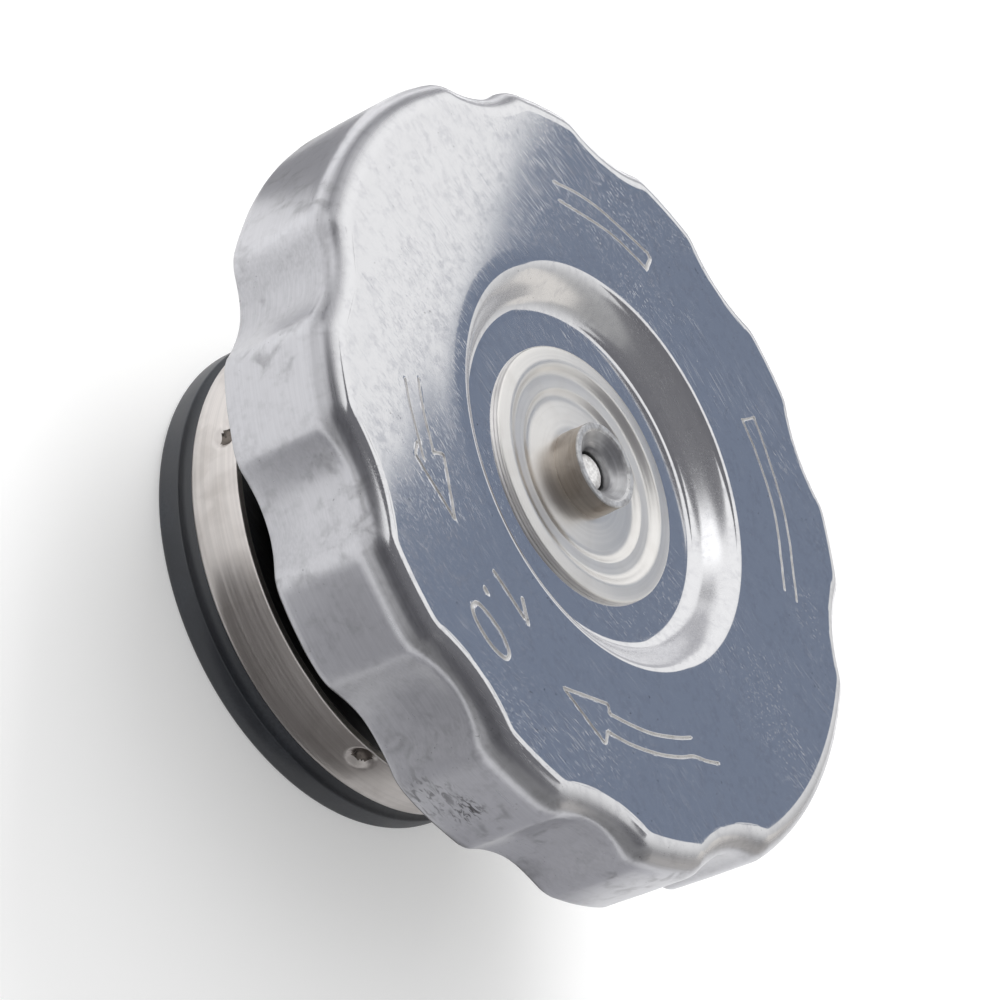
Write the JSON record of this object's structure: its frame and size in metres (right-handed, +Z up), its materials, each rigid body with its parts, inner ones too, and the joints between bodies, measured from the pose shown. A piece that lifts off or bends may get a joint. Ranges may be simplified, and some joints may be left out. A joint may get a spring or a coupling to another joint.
{
  "type": "radiator cap",
  "caption": "Pressure cap for a heavy vehicle's radiator: fluted sheet-metal crown with bayonet ears, spring-loaded pressure valve on a rubber-sealed cup and a suction valve inside it",
  "frame": {"origin": "centre of the lower seal's underside, on the cap's axis, with the loose cap standing on its seal", "axes": "+Z up the cap's axis to the crown's face; the crown's two wide grips and the bayonet ears lie on +X and -X"},
  "size_m": [0.092, 0.0908, 0.0397],
  "materials": {
    "crown": "pressed sheet, polished by hand use, scratched",
    "ribbed_disc": "nickel-plated sheet steel, satin",
    "hollow_rivet": "turned steel, dulled nickel",
    "locking_shell": "zinc-plated sheet steel",
    "friction_washer": "plain sheet steel",
    "diaphragm": "spring steel sheet",
    "upper_seal": "moulded rubber",
    "seal_clamp_ring": "zinc-plated sheet steel",
    "spring_bell": "phosphated sheet steel",
    "tail_washer": "zinc-plated steel",
    "pressure_spring": "oiled spring wire",
    "valve_stem": "turned steel, hammered end",
    "valve_cup": "deep-drawn stainless sheet, satin",
    "spring_pan": "sheet steel",
    "lower_seal": "moulded rubber",
    "seal_carrier": "stainless sheet",
    "guide_sleeve": "drawn tube",
    "suction_seal": "moulded rubber",
    "suction_plate": "pressed sheet",
    "suction_spring": "stainless wire",
    "suction_washer": "stamped sheet"
  },
  "bodies": {
    "cap_shell": {"crown": "crown", "ribbed_disc": "ribbed_disc", "hollow_rivet": "hollow_rivet", "locking_shell": "locking_shell", "friction_washer": "friction_washer"},
    "seal_head": {"diaphragm": "diaphragm", "upper_seal": "upper_seal", "seal_clamp_ring": "seal_clamp_ring", "spring_bell": "spring_bell", "tail_washer": "tail_washer", "pressure_spring": "pressure_spring"},
    "pressure_valve": {"valve_stem": "valve_stem", "valve_cup": "valve_cup", "spring_pan": "spring_pan", "lower_seal": "lower_seal", "seal_carrier": "seal_carrier", "guide_sleeve": "guide_sleeve", "suction_spring": "suction_spring", "suction_washer": "suction_washer"},
    "suction_valve": {"suction_plate": "suction_plate", "suction_seal": "suction_seal"}
  },
  "joints": [
    {"name": "crown_turn", "type": "hinge", "parent": "cap_shell", "child": "seal_head", "pos_m": [0, 0, 0.0319], "axis": [0, 0, 1], "continuous": true},
    {"name": "pressure_lift", "type": "slide", "parent": "seal_head", "child": "pressure_valve", "axis": [0, 0, 1], "range_m": [0, 0.003], "stiffness_N_per_m": 10200, "springref_m": -0.002, "deforming": ["pressure_spring"]},
    {"name": "suction_drop", "type": "slide", "parent": "pressure_valve", "child": "suction_valve", "axis": [0, 0, -1], "range_m": [0, 0.0012], "stiffness_N_per_m": 300, "springref_m": -0.003, "deforming": ["suction_spring"]}
  ]
}
